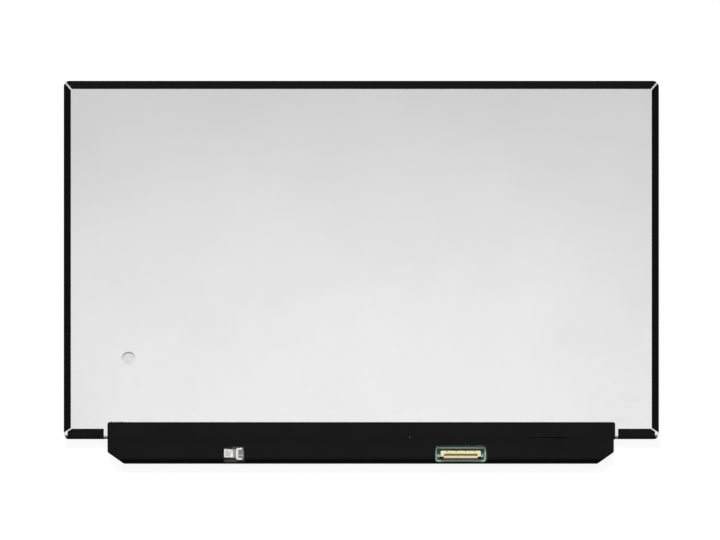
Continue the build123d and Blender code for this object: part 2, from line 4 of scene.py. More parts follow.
import bmesh
import bpy
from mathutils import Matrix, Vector


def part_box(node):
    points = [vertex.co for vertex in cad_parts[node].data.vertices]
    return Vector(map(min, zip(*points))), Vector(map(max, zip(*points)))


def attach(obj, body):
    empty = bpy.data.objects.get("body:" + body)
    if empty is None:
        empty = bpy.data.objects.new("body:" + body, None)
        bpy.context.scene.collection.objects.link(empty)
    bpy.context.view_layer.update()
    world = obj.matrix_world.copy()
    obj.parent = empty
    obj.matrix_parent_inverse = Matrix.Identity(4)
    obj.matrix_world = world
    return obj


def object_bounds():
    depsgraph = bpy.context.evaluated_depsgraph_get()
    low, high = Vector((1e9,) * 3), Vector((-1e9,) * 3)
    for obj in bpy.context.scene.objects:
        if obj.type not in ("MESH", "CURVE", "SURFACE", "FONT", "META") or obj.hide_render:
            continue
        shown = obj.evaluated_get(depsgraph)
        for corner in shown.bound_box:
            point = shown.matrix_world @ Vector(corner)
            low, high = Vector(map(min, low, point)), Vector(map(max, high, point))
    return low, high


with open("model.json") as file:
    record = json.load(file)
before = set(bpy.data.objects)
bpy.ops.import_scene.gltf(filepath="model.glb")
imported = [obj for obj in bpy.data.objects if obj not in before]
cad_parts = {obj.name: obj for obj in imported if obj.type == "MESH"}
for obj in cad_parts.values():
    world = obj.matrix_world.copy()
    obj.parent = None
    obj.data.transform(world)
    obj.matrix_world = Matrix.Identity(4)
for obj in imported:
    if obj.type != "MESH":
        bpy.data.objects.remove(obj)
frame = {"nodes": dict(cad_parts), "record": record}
cad_low, cad_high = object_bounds()
nodes = frame["nodes"]
record = frame["record"]

MM = 0.001
PER_MM = 1000.0
NOISE_LOW = 0.3  # the range that most of a noise's values lie in
NOISE_HIGH = 0.7
MIX_FIRST_COLOR = 6  # sockets of a colour mix
MIX_SECOND_COLOR = 7
MIX_COLOR_RESULT = 2

# The photograph's frame, and where the outline lies in it
IMAGE_WIDTH_PX = 720
IMAGE_HEIGHT_PX = 540
OUTLINE_LEFT_PX = 64.0
OUTLINE_RIGHT_PX = 658.6
OUTLINE_TOP_PX = 81.0
OUTLINE_BOTTOM_PX = 463.75
SENSOR_MM = 36.0
LENS_MM = 85.0
EDGE_BLUR_SCALE = 0.9988  # camera a little nearer, because dark edges on white render thin
CLIP_START_M = 0.01


# Node helpers

def add(tree, kind, inputs=None, **settings):
    """A new node, with its settings and the values of its unlinked inputs."""
    node = tree.nodes.new(kind)
    for name, value in settings.items():
        setattr(node, name, value)
    for name, value in (inputs or {}).items():
        node.inputs[name].default_value = value
    return node


def new_material(name, base_color, roughness, **inputs):
    """A Principled material whose constant values sit on the shader's own sockets."""
    material = bpy.data.materials.new(name)
    material.use_nodes = True
    surface = material.node_tree.nodes["Principled BSDF"]
    surface.inputs["Base Color"].default_value = (*base_color, 1.0)
    surface.inputs["Roughness"].default_value = roughness
    for socket, value in inputs.items():
        surface.inputs[socket.replace("_", " ")].default_value = value
    material.diffuse_color = (*base_color, 1.0)
    return material, material.node_tree, surface


def place(tree, stretch=(1.0, 1.0, 1.0)):
    """Object coordinates in millimetres, stretched along the axes."""
    coordinates = add(tree, "ShaderNodeTexCoord")
    scale = tuple(PER_MM * factor for factor in stretch)
    mapping = add(tree, "ShaderNodeMapping", {"Scale": scale})
    tree.links.new(coordinates.outputs["Object"], mapping.inputs["Vector"])
    return mapping.outputs["Vector"]


def noise(tree, per_mm, detail, stretch=(1.0, 1.0, 1.0)):
    texture = add(tree, "ShaderNodeTexNoise", {"Scale": per_mm, "Detail": detail})
    tree.links.new(place(tree, stretch), texture.inputs["Vector"])
    return texture.outputs["Fac"]


def between(tree, factor, low, high):
    """A value that runs from low to high over the middle of a noise's range."""
    ramp = add(
        tree,
        "ShaderNodeMapRange",
        {"From Min": NOISE_LOW, "From Max": NOISE_HIGH, "To Min": low, "To Max": high},
    )
    tree.links.new(factor, ramp.inputs["Value"])
    return ramp.outputs["Result"]


def blend_colors(tree, factor, first, second):
    mix = add(tree, "ShaderNodeMix", data_type="RGBA")
    tree.links.new(factor, mix.inputs["Factor"])
    for index, color in ((MIX_FIRST_COLOR, first), (MIX_SECOND_COLOR, second)):
        socket = mix.inputs[index]
        if isinstance(color, tuple):
            socket.default_value = (*color, 1.0)
        else:
            tree.links.new(color, socket)
    return mix.outputs[MIX_COLOR_RESULT]


def shade(color, factor):
    return tuple(channel * factor for channel in color)


def tint(tree, surface, color, factor, spread):
    """Varies the base colour by a share of itself, following a noise."""
    share = between(tree, factor, low=0.0, high=1.0)
    mixed = blend_colors(tree, share, shade(color, 1 - spread), shade(color, 1 + spread))
    tree.links.new(mixed, surface.inputs["Base Color"])
    return mixed


def rough(tree, surface, factor, low, high):
    tree.links.new(between(tree, factor, low, high), surface.inputs["Roughness"])


def bump(tree, surface, height, depth_mm, strength):
    node = add(tree, "ShaderNodeBump", {"Strength": strength, "Distance": depth_mm * MM})
    tree.links.new(height, node.inputs["Height"])
    tree.links.new(node.outputs["Normal"], surface.inputs["Normal"])


# Materials

FOLD_EDGE = 1.1  # the cover tape's lower edge to the darkest of its painted fold shade
FOLD_RUN = 2.9  # from there to where the painted fold shade ends
FOLD_RIM = 0.4  # the cover tape's lower edge to its rim, where a painted highlight eases the shade
FOLD_RIM_SHARE = 0.35  # what is left of the painted shade there
PAINTED_FOLD_DARKNESS = 0.15  # share of the film's colour that is left at the darkest of the painted shade
FOLD_ROUGHNESS = 1.0
GRAIN_SPREAD = 0.06  # of a moulded surface's roughness, to both sides
PLATED_SMOOTHER = 0.08  # of a plated surface's roughness
PLATED_ROUGHER = 0.1
CLEAR_ROUGHER = 0.03
LIT_FACE = 0.9  # an LED's faces whose normal points this far along +Y are lit
ACTIVE_WIDTH = 276.6  # of the pixels
ACTIVE_HEIGHT = 155.6
ACTIVE_TOP = 87.8  # y of their upper edge


def satin_plate():
    color = (0.78, 0.78, 0.78)
    material, tree, surface = new_material("satin_plate", color, roughness=0.34, Metallic=1.0)
    tint(tree, surface, color, noise(tree, per_mm=0.018, detail=3.0), spread=0.02)
    grain = noise(tree, per_mm=6.0, detail=4.0, stretch=(0.04, 1.0, 1.0))
    rough(tree, surface, grain, low=0.30, high=0.38)
    bump(tree, surface, grain, depth_mm=0.004, strength=0.25)
    return material


def film_tape(name, color, gloss):
    material, tree, surface = new_material(name, color, roughness=0.36, Specular_IOR_Level=gloss)
    tint(tree, surface, color, noise(tree, per_mm=0.15, detail=3.0), spread=0.12)
    grain = noise(tree, per_mm=7.0, detail=3.0)
    rough(tree, surface, grain, low=0.30, high=0.42)
    bump(tree, surface, grain, depth_mm=0.004, strength=0.3)
    return material


def film_with_painted_fold(name, color, gloss):
    """Film tape that is duller where it folds down over the board's lower edge, with painted shade over the
    fold and a painted highlight along its rim.
    """
    material = film_tape(name, color, gloss)
    tree = material.node_tree
    surface = tree.nodes["Principled BSDF"]
    tinted = surface.inputs["Base Color"].links[0].from_socket
    grained = surface.inputs["Roughness"].links[0].from_socket
    axes = add(tree, "ShaderNodeSeparateXYZ")
    tree.links.new(place(tree), axes.inputs["Vector"])
    fold_low = cad_low.y * PER_MM + FOLD_EDGE
    fold = add(
        tree,
        "ShaderNodeMapRange",
        {"From Min": fold_low, "From Max": fold_low + FOLD_RUN, "To Min": 1.0, "To Max": 0.0},
        interpolation_type="SMOOTHSTEP",
    )
    tree.links.new(axes.outputs["Y"], fold.inputs["Value"])
    rim_low = cad_low.y * PER_MM + FOLD_RIM
    rim = add(
        tree,
        "ShaderNodeMapRange",
        {"From Min": rim_low, "From Max": fold_low, "To Min": FOLD_RIM_SHARE, "To Max": 1.0},
    )
    tree.links.new(axes.outputs["Y"], rim.inputs["Value"])
    shaded = add(tree, "ShaderNodeMath", operation="MULTIPLY")
    tree.links.new(fold.outputs["Result"], shaded.inputs[0])
    tree.links.new(rim.outputs["Result"], shaded.inputs[1])
    painted_shade_amount = shaded.outputs["Value"]
    # Painted shade over the fold, eased off at the rim as a painted highlight
    mixed = blend_colors(tree, painted_shade_amount, tinted, shade(color, PAINTED_FOLD_DARKNESS))
    tree.links.new(mixed, surface.inputs["Base Color"])
    dulled = add(tree, "ShaderNodeMath", {1: FOLD_ROUGHNESS}, operation="MULTIPLY")
    tree.links.new(painted_shade_amount, dulled.inputs[0])
    either = add(tree, "ShaderNodeMath", operation="MAXIMUM")
    tree.links.new(grained, either.inputs[0])
    tree.links.new(dulled.outputs["Value"], either.inputs[1])
    tree.links.new(either.outputs["Value"], surface.inputs["Roughness"])
    return material


def moulded(name, color, roughness, **inputs):
    material, tree, surface = new_material(name, color, roughness, **inputs)
    tint(tree, surface, color, noise(tree, per_mm=0.4, detail=3.0), spread=0.05)
    grain = noise(tree, per_mm=12.0, detail=2.0)
    rough(tree, surface, grain, roughness - GRAIN_SPREAD, roughness + GRAIN_SPREAD)
    bump(tree, surface, grain, depth_mm=0.004, strength=0.4)
    return material


def mottled(name, color, spread):
    material, tree, surface = new_material(name, color, roughness=0.5)
    tint(tree, surface, color, noise(tree, per_mm=0.9, detail=2.0, stretch=(1.0, 1.6, 1.0)), spread)
    bump(tree, surface, noise(tree, per_mm=2.5, detail=2.0), depth_mm=0.01, strength=0.4)
    return material


def plated(name, color, roughness=0.28):
    material, tree, surface = new_material(name, color, roughness, Metallic=1.0)
    tint(tree, surface, color, noise(tree, per_mm=1.2, detail=3.0), spread=0.07)
    stains = noise(tree, per_mm=4.0, detail=3.0)
    rough(tree, surface, stains, roughness - PLATED_SMOOTHER, roughness + PLATED_ROUGHER)
    return material


def clear(name, color, ior, roughness=0.05):
    material, tree, surface = new_material(name, color, roughness, Transmission_Weight=1.0, IOR=ior)
    rough(tree, surface, noise(tree, per_mm=2.0, detail=2.0), roughness, roughness + CLEAR_ROUGHER)
    return material


def polariser():
    """Anti-glare film, a shade lighter over the pixels than over the black border round them."""
    color = (0.030, 0.031, 0.034)
    border = (0.003, 0.003, 0.0035)
    material, tree, surface = new_material("dark_polariser", color, roughness=0.22)
    tinted = tint(tree, surface, color, noise(tree, per_mm=0.02, detail=2.0), spread=0.10)
    axes = add(tree, "ShaderNodeSeparateXYZ")
    tree.links.new(place(tree), axes.inputs["Vector"])
    limits = (("X", 0.0, ACTIVE_WIDTH / 2), ("Y", ACTIVE_TOP - ACTIVE_HEIGHT / 2, ACTIVE_HEIGHT / 2))
    inside = []
    for axis, middle, reach in limits:
        near = add(tree, "ShaderNodeMath", {1: middle, 2: reach}, operation="COMPARE")
        tree.links.new(axes.outputs[axis], near.inputs[0])
        inside.append(near.outputs["Value"])
    both = add(tree, "ShaderNodeMath", operation="MULTIPLY")
    for value, socket in zip(inside, both.inputs):
        tree.links.new(value, socket)
    mixed = blend_colors(tree, both.outputs["Value"], border, tinted)
    tree.links.new(mixed, surface.inputs["Base Color"])
    haze = noise(tree, per_mm=25.0, detail=2.0)
    rough(tree, surface, haze, low=0.18, high=0.28)
    bump(tree, surface, haze, depth_mm=0.002, strength=0.2)
    return material


def board():
    color = (0.016, 0.072, 0.046)
    material, tree, surface = new_material(
        "green_solder_mask", color, roughness=0.3, Specular_IOR_Level=0.2
    )
    traces = noise(tree, per_mm=1.6, detail=2.0, stretch=(1.0, 0.12, 1.0))
    tint(tree, surface, color, traces, spread=0.3)
    bump(tree, surface, traces, depth_mm=0.02, strength=0.5)
    return material


def driver_film():
    color = (0.25, 0.10, 0.03)
    material, tree, surface = new_material("amber_film", color, roughness=0.3)
    traces = noise(tree, per_mm=5.0, detail=1.0, stretch=(1.0, 0.05, 1.0))
    tint(tree, surface, color, traces, spread=0.25)
    bump(tree, surface, traces, depth_mm=0.01, strength=0.4)
    return material


def led():
    body = (0.80, 0.80, 0.78)
    phosphor = (0.85, 0.72, 0.22)
    material, tree, surface = new_material("led_phosphor", body, roughness=0.45)
    geometry = add(tree, "ShaderNodeNewGeometry")
    axes = add(tree, "ShaderNodeSeparateXYZ")
    tree.links.new(geometry.outputs["Normal"], axes.inputs["Vector"])
    lit_face = add(tree, "ShaderNodeMath", {1: LIT_FACE}, operation="GREATER_THAN")
    tree.links.new(axes.outputs["Y"], lit_face.inputs[0])
    mixed = blend_colors(tree, lit_face.outputs["Value"], body, phosphor)
    tree.links.new(mixed, surface.inputs["Base Color"])
    bump(tree, surface, noise(tree, per_mm=10.0, detail=2.0), depth_mm=0.004, strength=0.3)
    return material


SLOT_MATERIALS = {
    "back_plate": satin_plate(),
    "edge_tape": film_tape("edge_tape_film", (0.0036, 0.0036, 0.0036), gloss=0.08),
    "cover_tape": film_with_painted_fold("cover_tape_painted_fold", (0.0036, 0.0036, 0.0036), gloss=0.085),
    "frame_plastic": moulded(
        "black_frame_plastic", (0.004, 0.004, 0.004), roughness=0.5, Specular_IOR_Level=0.05
    ),
    "glass": clear("cell_glass", (0.85, 0.92, 0.90), ior=1.52),
    "polariser": polariser(),
    "optical_film": moulded("optical_film", (0.85, 0.86, 0.87), roughness=0.3),
    "light_guide": clear("light_guide_acrylic", (0.92, 0.94, 0.94), ior=1.49),
    "reflector": moulded("white_reflector", (0.68, 0.68, 0.68), roughness=0.55),
    "led": led(),
    "flex": moulded("coated_flex", (0.30, 0.29, 0.28), roughness=0.4),
    "white_plastic": moulded("white_plastic", (0.76, 0.75, 0.75), roughness=0.45),
    "grey_plastic": moulded("grey_latch_plastic", (0.20, 0.20, 0.19), roughness=0.45),
    "board": board(),
    "driver_film": driver_film(),
    "chip": moulded("chip_compound", (0.015, 0.015, 0.016), roughness=0.5),
    "ferrite": moulded("ferrite", (0.08, 0.08, 0.085), roughness=0.6),
    "capacitor": moulded("fired_ceramic", (0.30, 0.20, 0.12), roughness=0.5),
    "ivory_plastic": moulded("ivory_plastic", (0.81, 0.765, 0.475), roughness=0.45),
    "connector_shell": plated("pale_gold_plate", (0.667, 0.566, 0.39)),
    # the contacts' gold is darkened as painted shade of the connector's slot and the gap behind it
    "contact": plated("gold_plate", (0.27, 0.17, 0.045)),
    "solder_tab": plated("tin_plate", (0.34, 0.34, 0.33), roughness=0.4),
}

for subpart in record["subparts"]:
    mesh = nodes[subpart["node"]].data
    mesh.materials.clear()
    mesh.materials.append(SLOT_MATERIALS[subpart["material_slot"]])

# The side tapes get a darker, less glossy copy of the same film, which is painted shade, and the tail's
# stiffener is mottled
side_tape_painted_shade = film_tape("side_film_painted_shade", (0.0028, 0.0028, 0.0028), gloss=0.044)
for side in ("left", "right"):
    nodes[f"edge_tape_{side}"].data.materials[0] = side_tape_painted_shade
stiffener_white = mottled("mottled_stiffener", (0.75, 0.74, 0.74), spread=0.28)
nodes["led_tail_stiffener"].data.materials[0] = stiffener_white


# Mesh helpers. Outlines and heights are in millimetres.

def box_mm(node):
    low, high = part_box(node)
    return low * PER_MM, high * PER_MM


def rectangle(x_low, x_high, y_low, y_high):
    return [(x_low, y_low), (x_high, y_low), (x_high, y_high), (x_low, y_high)]


def rounded(x_low, x_high, y_low, y_high, radius, steps=8):
    """A rectangle with round corners, counter-clockwise."""
    outline = []
    corners = [
        (x_high - radius, y_low + radius),
        (x_high - radius, y_high - radius),
        (x_low + radius, y_high - radius),
        (x_low + radius, y_low + radius),
    ]
    for quarter, (x, y) in enumerate(corners, start=-1):
        for i in range(steps + 1):
            angle = math.pi / 2 * (quarter + i / steps)
            outline.append((x + radius * math.cos(angle), y + radius * math.sin(angle)))
    return outline


def loft(mesh, loops):
    """Faces between loops of equal length."""
    rows = [[mesh.verts.new(Vector(point) * MM) for point in loop] for loop in loops]
    count = len(loops[0])
    for low, high in zip(rows, rows[1:]):
        for i in range(count):
            j = (i + 1) % count
            mesh.faces.new((low[i], low[j], high[j], high[i]))
    return rows


def lifted(outline, z):
    return [(x, y, z) for x, y in outline]


def shrunk(outline, factor):
    """The outline drawn in towards its middle."""
    middle_x = sum(x for x, _ in outline) / len(outline)
    middle_y = sum(y for _, y in outline) / len(outline)
    return [(middle_x + (x - middle_x) * factor, middle_y + (y - middle_y) * factor) for x, y in outline]


def prism(mesh, outline, z_low, z_high, bevel=0.0):
    """An upright prism over an outline, with a bevel round its top."""
    rows = loft(mesh, [lifted(outline, z_low), lifted(outline, z_high)])
    mesh.faces.new(list(reversed(rows[0])))
    mesh.faces.new(rows[1])
    if bevel:
        top = set(rows[1])
        edges = [edge for edge in mesh.edges if top.issuperset(edge.verts)]
        bmesh.ops.bevel(mesh, geom=edges, offset=bevel * MM, segments=2, affect="EDGES", profile=0.5)


def ring(mesh, outer, inner, z_low, z_high):
    """A flat band between two outlines of equal length."""
    loops = [lifted(inner, z_low), lifted(outer, z_low), lifted(outer, z_high), lifted(inner, z_high)]
    rows = loft(mesh, loops)
    count = len(outer)
    for i in range(count):
        j = (i + 1) % count
        mesh.faces.new((rows[-1][i], rows[-1][j], rows[0][j], rows[0][i]))


def mound(mesh, outline, z_low, height, steps=6):
    """A rounded heap over an outline, steep at its foot and flat on top."""
    loops = []
    for i in range(steps):
        angle = math.pi / 2 * i / steps
        loops.append(lifted(shrunk(outline, math.cos(angle)), z_low + height * math.sin(angle)))
    rows = loft(mesh, loops)
    mesh.faces.new(list(reversed(rows[0])))
    mesh.faces.new(rows[-1])


def piece(name, build, material, smooth=False):
    """A new piece of the object, drawn by build(mesh), that rides on the frame."""
    work = bmesh.new()
    build(work)
    bmesh.ops.recalc_face_normals(work, faces=work.faces)
    for face in work.faces:
        face.smooth = smooth
    data = bpy.data.meshes.new(name)
    work.to_mesh(data)
    work.free()
    data.materials.append(material)
    thing = bpy.data.objects.new(name, data)
    bpy.context.scene.collection.objects.link(thing)
    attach(thing, "root")


# Marks, pads and solder on the circuit board, small pieces of the connectors, and painted shade in their
# pockets and notches

SILK_THICKNESS = 0.02
SILK_WIDTH = 0.70
PAD_THICKNESS = 0.03
PAD_BEVEL = 0.01
display_low, display_high = box_mm("display_connector_housing")
display_nails_low, display_nails_high = box_mm("display_connector_nails")
contacts_low, contacts_high = box_mm("display_connector_contacts")
shell_low, shell_high = box_mm("display_connector_shell")
light_low, light_high = box_mm("light_connector_housing")
latch_low, latch_high = box_mm("light_connector_latch")
stiffener_low, stiffener_high = box_mm("led_tail_stiffener")
cover_low, cover_high = box_mm("board_cover_tape")
plate_low, plate_high = box_mm("back_plate")
z_board = display_low.z

silkscreen = mottled("board_marking", (0.345, 0.46, 0.385), spread=0.22)
bright_solder = plated("bright_solder", (0.88, 0.88, 0.87), roughness=0.3)
cream_solder = plated("flux_stained_solder", (0.74, 0.68, 0.52), roughness=0.4)
dull_pad = moulded("dull_pad", (0.048, 0.046, 0.044), roughness=0.5, Specular_IOR_Level=0.15)
faint_pad = moulded("faint_pad", (0.28, 0.31, 0.30), roughness=0.5, Specular_IOR_Level=0.2)
olive_mask = mottled("solder_mask_on_copper", (0.065, 0.085, 0.028), spread=0.15)
dark_mask = mottled("dark_solder_mask", (0.018, 0.023, 0.010), spread=0.2)
# painted shade: a dark brown for blocks and floors where the connector's pockets and notches lie in shade
painted_shade_brown = moulded("lock_pocket", (0.010, 0.006, 0.002), roughness=0.6, Specular_IOR_Level=0.1)
# also the painted highlight on the corner ridges
pale_band_and_painted_highlight = moulded("pale_latch_band_and_ridge_highlight", (0.36, 0.36, 0.35), roughness=0.5)
grey_metal = plated("shaded_metal", (0.42, 0.42, 0.42), roughness=0.5)
land_grey = mottled("tinned_land", (0.14, 0.14, 0.135), spread=0.3)
strip_grey = moulded("pale_strip", (0.075, 0.078, 0.074), roughness=0.5, Specular_IOR_Level=0.2)
field_grey = mottled("grey_field", (0.53, 0.52, 0.52), spread=0.3)
# painted shade: dark brown on real ribs, for the shade deep in the display connector's slot
rib_painted_shade = moulded("contact_ribs_in_painted_shade", (0.38, 0.25, 0.07), roughness=0.5, Specular_IOR_Level=0.2)

MARK_LEFT = 2.47  # display connector to the mark round it
MARK_RIGHT = 2.43
MARK_BELOW = 1.8
MARK_ABOVE = 1.8
MARK_CORNER = 1.3
STUB_RISE = 0.75  # of the stub at the mark's upper left corner
STUB_INSET = 0.26
STUB_FOOT = 0.56
STUB_LEFT = 0.28
STUB_RIGHT = 0.63


def display_mark(mesh):
    """The light line round the display connector, drawn out upwards past its upper left corner."""
    x_low = display_low.x - MARK_LEFT
    x_high = display_high.x + MARK_RIGHT
    y_low = display_low.y - MARK_BELOW
    y_high = display_high.y + MARK_ABOVE
    width = SILK_WIDTH
    outer = rounded(x_low, x_high, y_low, y_high, MARK_CORNER)
    inner = rounded(
        x_low + width, x_high - width, y_low + width, y_high - width, MARK_CORNER - width
    )
    ring(mesh, outer, inner, z_board, z_board + SILK_THICKNESS)
    stub_x = x_low + STUB_INSET
    stub = [
        (stub_x, y_high - MARK_CORNER),
        (stub_x + STUB_FOOT, y_high - MARK_CORNER / 2),
        (stub_x + STUB_RIGHT, y_high + STUB_RISE),
        (stub_x + STUB_LEFT, y_high + STUB_RISE),
    ]
    prism(mesh, stub, z_board + SILK_THICKNESS, z_board + 2 * SILK_THICKNESS)


piece("display_mark", display_mark, silkscreen)

COPPER_MARGIN = 0.25  # display connector's sides to the copper in front of it
REAR_COPPER_MARGIN = 0.75  # its left side to the copper behind it


def mouth_copper(mesh):
    """Copper under the solder mask in front of the display connector."""
    y_low = display_low.y - MARK_BELOW + SILK_WIDTH
    outline = rectangle(display_low.x + COPPER_MARGIN, display_high.x - COPPER_MARGIN, y_low, display_low.y)
    prism(mesh, outline, z_board, z_board + PAD_THICKNESS, PAD_BEVEL)


def rear_copper(mesh):
    """Copper under the solder mask behind the display connector."""
    y_high = display_high.y + MARK_ABOVE - SILK_WIDTH
    outline = rectangle(display_low.x + REAR_COPPER_MARGIN, display_high.x, contacts_high.y, y_high)
    prism(mesh, outline, z_board, z_board + PAD_THICKNESS, PAD_BEVEL)


piece("mouth_copper", mouth_copper, olive_mask)
piece("rear_copper", rear_copper, dark_mask)

POCKET_WIDTH = 1.5
POCKET_HEIGHT = 0.3
POCKET_OUTSET = 0.2  # past the connector's sides
POCKET_BELOW = 0.4  # past its front
POCKET_ABOVE = 0.6  # up to its arms
POCKET_BEVEL = 0.05


def painted_pocket_shade(mesh):
    """Dark blocks below the display connector's arms: painted shade for the pockets where a plug's lock
    goes in.
    """
    y_low = display_low.y - POCKET_BELOW
    y_high = display_low.y + POCKET_ABOVE
    left = display_low.x - POCKET_OUTSET
    right = display_high.x + POCKET_OUTSET
    for x_low in (left, right - POCKET_WIDTH):
        outline = rectangle(x_low, x_low + POCKET_WIDTH, y_low, y_high)
        prism(mesh, outline, z_board + PAD_THICKNESS, z_board + POCKET_HEIGHT, POCKET_BEVEL)


piece("display_painted_pocket_shade", painted_pocket_shade, painted_shade_brown)

NOTCH_COUNT = 4  # along the display connector's rear edge
NOTCH_PITCH = 4.4
NOTCH_WIDTH = 0.5
NOTCH_DEPTH = 0.35
NOTCH_FLOOR = 0.55  # above the board
display_middle = (display_low.x + display_high.x) / 2


def painted_notch_shade(mesh):
    """Dark floors in the notches of the display connector's rear edge: painted shade."""
    for i in range(NOTCH_COUNT):
        x = display_middle + (i - (NOTCH_COUNT - 1) / 2) * NOTCH_PITCH
        half = NOTCH_WIDTH / 2
        outline = rectangle(x - half, x + half, display_high.y - NOTCH_DEPTH, display_high.y)
        prism(mesh, outline, z_board + NOTCH_FLOOR, z_board + NOTCH_FLOOR + PAD_THICKNESS)


piece("display_painted_notch_shade", painted_notch_shade, painted_shade_brown)

# Test pads above the mark: distance right of the display connector's middle, width and length
TEST_PADS = ((2.2, 0.16, 0.7), (3.6, 0.24, 1.0), (5.5, 0.16, 0.6), (7.0, 0.40, 0.45))
TEST_PAD_RISE = 0.05  # above the mark
TRACE_START = 7.9  # of the trace beside them, right of the connector's middle
TRACE_LENGTH = 2.6
TRACE_WIDTH = 0.24
TRACE_RISE = 0.55
y_mark_top = display_high.y + MARK_ABOVE


def test_pads(mesh):
    """Test pads and a trace above the mark."""
    top = z_board + PAD_THICKNESS
    for x, width, length in TEST_PADS:
        left = display_middle + x
        low = y_mark_top + TEST_PAD_RISE
        prism(mesh, rectangle(left, left + width, low, low + length), z_board, top, PAD_BEVEL)
    left = display_middle + TRACE_START
    low = y_mark_top + TRACE_RISE
    right = left + TRACE_LENGTH
    prism(mesh, rectangle(left, right, low, low + TRACE_WIDTH), z_board, top, PAD_BEVEL)


piece("board_test_pads", test_pads, faint_pad)

CONTACT_COUNT = 30
CONTACT_PITCH = 0.5
RIB_HEIGHT = 0.08
RIB_GAP = 0.02  # to the contacts
RIB_REACH = 0.35  # share of the way from the metal bar to the connector's rear
SLOT_FLOOR = 0.20  # above the board
slot_floor = z_board + SLOT_FLOOR
contact_width = (contacts_high.x - contacts_low.x) - (CONTACT_COUNT - 1) * CONTACT_PITCH


def contact_ribs(mesh):
    """Ribs between and beside the contacts, on the floor of the display connector's mouth, coloured dark
    brown as painted shade of the deep slot.
    """
    y_low = display_low.y
    y_high = shell_high.y + (display_high.y - shell_high.y) * RIB_REACH
    spans = [(shell_low.x, contacts_low.x), (contacts_high.x, shell_high.x)]
    for i in range(CONTACT_COUNT - 1):
        left = contacts_low.x + i * CONTACT_PITCH + contact_width
        spans.append((left, left + CONTACT_PITCH - contact_width))
    for left, right in spans:
        outline = rectangle(left + RIB_GAP, right - RIB_GAP, y_low, y_high)
        prism(mesh, outline, slot_floor, slot_floor + RIB_HEIGHT, RIB_GAP)


piece("display_contact_ribs", contact_ribs, rib_painted_shade)

SOLDER_HEIGHT = 0.37
SOLDER_WIDTH = 0.85
SOLDER_CORNER = 0.34
SOLDER_SPILL = 0.25  # past the tab
SOLDER_LEFT_SPILL = 0.7
SOLDER_REACH = 0.5  # up past the tab
SOLDER_TAPER = 0.5  # share of its width that the right-hand heap loses upwards


def solder_left(mesh):
    """A heap beside the left-hand tab."""
    x_low = display_nails_low.x - SOLDER_LEFT_SPILL
    outline = rounded(
        x_low, x_low + SOLDER_WIDTH, display_nails_low.y, display_nails_high.y, SOLDER_CORNER
    )
    mound(mesh, outline, z_board, SOLDER_HEIGHT)


def solder_right(mesh):
    """A heap that widens downwards, as solder that ran."""
    x_high = display_nails_high.x + SOLDER_SPILL
    x_low = x_high - SOLDER_WIDTH
    y_low = display_nails_low.y - SOLDER_SPILL
    y_high = display_nails_high.y + SOLDER_REACH
    outline = []
    for x, y in rounded(x_low, x_high, y_low, y_high, SOLDER_CORNER):
        narrowing = 1 - SOLDER_TAPER * (y - y_low) / (y_high - y_low)
        outline.append((x_high + (x - x_high) * narrowing, y))
    mound(mesh, outline, z_board, SOLDER_HEIGHT)


piece("display_solder_left", solder_left, bright_solder, smooth=True)
piece("display_solder_right", solder_right, cream_solder, smooth=True)

PAD_ABOVE = 0.9  # light connector to the upper edge of the pad round it
PAD_BELOW = 1.3
PAD_MARGIN = 0.6
LAND_REACH = 1.8  # of the tinned land behind the light connector, left of its face
LAND_RISE = 0.75
LAND_DEPTH = 1.1
STRIP_DROP = 0.25  # light connector to the pale strip below it
STRIP_WIDTH = 0.55
FIELD_LEFT = 0.5  # from the stiffener's edges
FIELD_RIGHT = 1.4
FIELD_TOP = 1.15
FIELD_BOTTOM = 0.65
FINGER_COUNT = 8
FINGER_PITCH = 0.45
FINGER_WIDTH = 0.25


def light_pad(mesh):
    """The dull pad on the board under the light connector and the tail."""
    outline = rounded(
        stiffener_low.x - PAD_MARGIN,
        light_high.x + PAD_MARGIN,
        light_low.y - PAD_BELOW,
        light_high.y + PAD_ABOVE,
        PAD_MARGIN,
    )
    prism(mesh, outline, z_board, z_board + PAD_THICKNESS, PAD_BEVEL)


piece("light_pad", light_pad, dull_pad)


def light_land(mesh):
    """The tinned land on the pad, behind the light connector's upper side."""
    low = light_high.y + LAND_RISE - LAND_DEPTH
    outline = rectangle(light_low.x - LAND_REACH, light_high.x, low, light_high.y + LAND_RISE)
    prism(mesh, outline, z_board + PAD_THICKNESS, z_board + 2 * PAD_THICKNESS, PAD_BEVEL)


def light_strip(mesh):
    """The paler strip along the pad's lower edge."""
    high = light_low.y - STRIP_DROP
    outline = rectangle(stiffener_low.x, light_low.x, high - STRIP_WIDTH, high)
    prism(mesh, outline, z_board + PAD_THICKNESS, z_board + 2 * PAD_THICKNESS, PAD_BEVEL)


def stiffener_field(mesh):
    """A plain grey field on the stiffener."""
    outline = rectangle(
        stiffener_low.x + FIELD_LEFT,
        stiffener_high.x - FIELD_RIGHT,
        stiffener_low.y + FIELD_BOTTOM,
        stiffener_high.y - FIELD_TOP,
    )
    prism(mesh, outline, stiffener_high.z, stiffener_high.z + SILK_THICKNESS)


piece("light_land", light_land, land_grey)
piece("light_strip", light_strip, strip_grey)
piece("stiffener_field", stiffener_field, field_grey)

BAND_RISE = 0.02
BAND_WIDTH = 0.86
BAND_SHIFT = 0.72  # below the light connector's middle


def latch_band(mesh):
    """The lighter band across the light connector's latch."""
    middle = (light_low.y + light_high.y) / 2 - BAND_SHIFT
    outline = rectangle(latch_low.x, latch_high.x, middle - BAND_WIDTH / 2, middle + BAND_WIDTH / 2)
    prism(mesh, outline, latch_high.z - BAND_RISE, latch_high.z + BAND_RISE, BAND_RISE)


piece("light_latch_band", latch_band, pale_band_and_painted_highlight)


